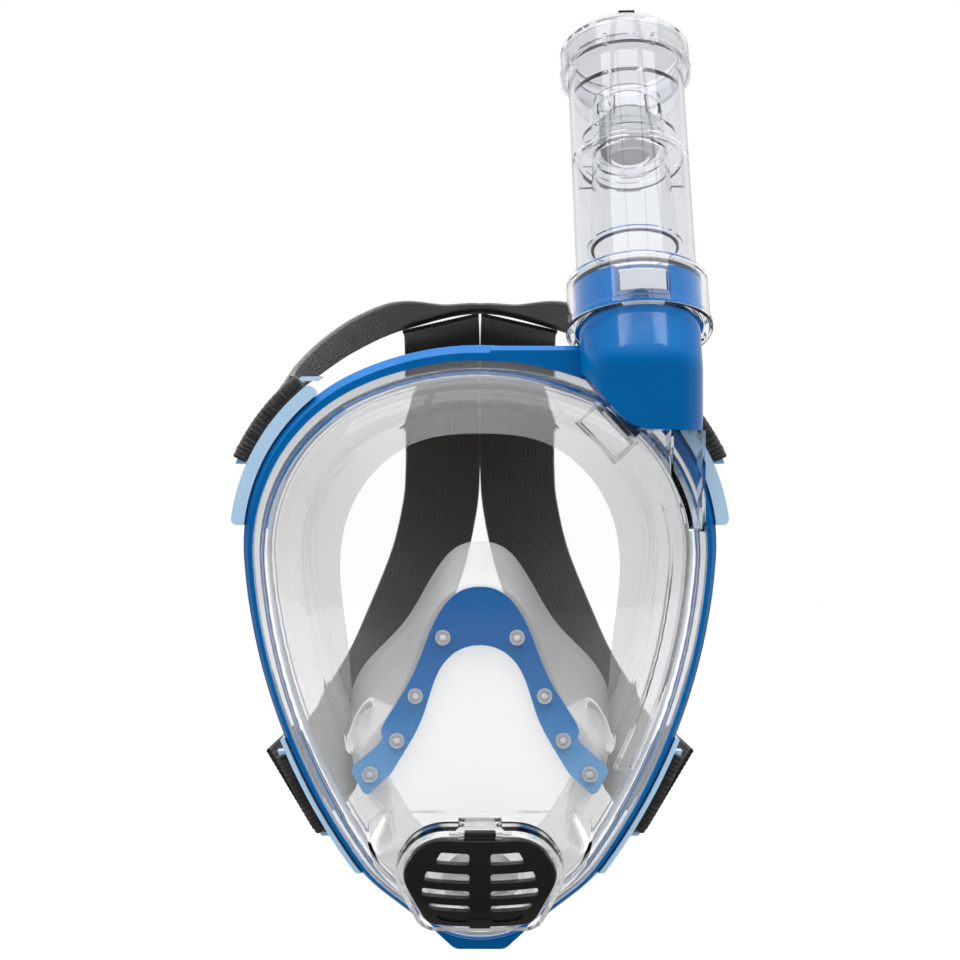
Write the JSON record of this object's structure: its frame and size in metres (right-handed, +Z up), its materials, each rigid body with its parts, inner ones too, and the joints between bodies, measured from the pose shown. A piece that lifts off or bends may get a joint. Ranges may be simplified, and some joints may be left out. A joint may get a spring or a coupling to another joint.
{
  "type": "snorkel mask",
  "caption": "Full-face snorkel mask with a wrap-round clear lens, milky face skirt, nose pocket, side-mounted dry-top snorkel, chin purge valve and elastic head straps.",
  "frame": {"origin": "middle of the opening that seals against the wearer's face", "axes": "+Z up, -Y out through the lens, +X to the snorkel's side"},
  "size_m": [0.1994, 0.2484, 0.3833],
  "materials": {
    "blue_plastic": "high gloss",
    "light_blue_plastic": "gloss",
    "clear_plastic": "polished, see-through",
    "frosted_plastic": "frosted",
    "milky_silicone": "satin, milky and see-through",
    "valve_silicone": "satin",
    "black_plastic": "high gloss",
    "black_rubber": "satin",
    "steel": "brushed",
    "grey_plastic": "satin",
    "black_webbing": "ribbed elastic webbing",
    "grey_webbing": "smooth back of elastic webbing"
  },
  "bodies": {
    "mask": {"frame": "blue_plastic", "lens": "clear_plastic", "skirt_retainer": "clear_plastic", "face_skirt": "milky_silicone", "nose_pocket": "milky_silicone", "pocket_bracket": "blue_plastic", "bracket_studs": "clear_plastic", "inhale_valve_seat_left": "valve_silicone", "inhale_valve_seat_right": "valve_silicone", "purge_seat": "clear_plastic", "purge_hinge_pin": "steel", "air_elbow": "blue_plastic", "port_gasket": "black_rubber", "inlet_duct": "clear_plastic", "side_channel": "clear_plastic", "exhaust_duct": "clear_plastic", "strap_anchor_upper_left": "light_blue_plastic", "strap_anchor_upper_right": "light_blue_plastic", "strap_anchor_lower_left": "light_blue_plastic", "strap_anchor_lower_right": "light_blue_plastic", "strap_loop_upper_left": "black_webbing", "strap_loop_upper_right": "black_webbing", "strap_loop_lower_left": "black_webbing", "strap_loop_lower_right": "black_webbing", "crown_strap": "grey_webbing", "back_strap_left": "black_webbing", "back_strap_right": "black_webbing"},
    "snorkel": {"snorkel_tube": "clear_plastic", "float_chamber": "clear_plastic", "tube_collar": "clear_plastic", "collar_o_ring": "black_rubber", "tube_divider": "clear_plastic", "float_cage": "clear_plastic", "dry_valve_seat": "clear_plastic", "cap_rim": "clear_plastic", "top_cap": "frosted_plastic", "cap_inset": "black_plastic"},
    "latch": {"latch_button": "clear_plastic"},
    "float_unit": {"float": "grey_plastic", "float_seal": "black_rubber"},
    "purge_lid": {"purge_cover": "black_plastic"},
    "purge_valve": {"purge_diaphragm": "valve_silicone"},
    "inhale_flap_left": {"inhale_valve_left": "valve_silicone"},
    "inhale_flap_right": {"inhale_valve_right": "valve_silicone"},
    "exhaust_valve": {"exhaust_flap": "valve_silicone"}
  },
  "joints": [
    {"name": "tube_release", "type": "slide", "parent": "mask", "child": "snorkel", "axis": [-0.0175, 0.3745, 0.927], "range_m": [0, 0.022]},
    {"name": "latch_press", "type": "slide", "parent": "snorkel", "child": "latch", "axis": [0.007, 0.9272, -0.3745], "range_m": [0, 0.0012], "stiffness_N_per_m": 800},
    {"name": "float_slide", "type": "slide", "parent": "snorkel", "child": "float_unit", "axis": [-0.0175, 0.3745, 0.927], "range_m": [0, 0.0075]},
    {"name": "purge_cover_hinge", "type": "hinge", "parent": "mask", "child": "purge_lid", "pos_m": [0, -0.08604, -0.07946], "axis": [-1, 0, 0], "range_deg": [0, 95]},
    {"name": "purge_valve_lift", "type": "slide", "parent": "mask", "child": "purge_valve", "axis": [0, -0.891, -0.454], "range_m": [0, 0.0015], "stiffness_N_per_m": 80},
    {"name": "inhale_left_lift", "type": "slide", "parent": "mask", "child": "inhale_flap_left", "axis": [0.8574, 0.2991, -0.4187], "range_m": [0, 0.0015], "stiffness_N_per_m": 40},
    {"name": "inhale_right_lift", "type": "slide", "parent": "mask", "child": "inhale_flap_right", "axis": [-0.8574, 0.2991, -0.4187], "range_m": [0, 0.0015], "stiffness_N_per_m": 40},
    {"name": "exhaust_flap_hinge", "type": "hinge", "parent": "mask", "child": "exhaust_valve", "pos_m": [0.0776, -0.065, 0.0785], "axis": [0, -1, 0], "range_deg": [0, 35], "stiffness_Nm_per_rad": 0.0001}
  ]
}
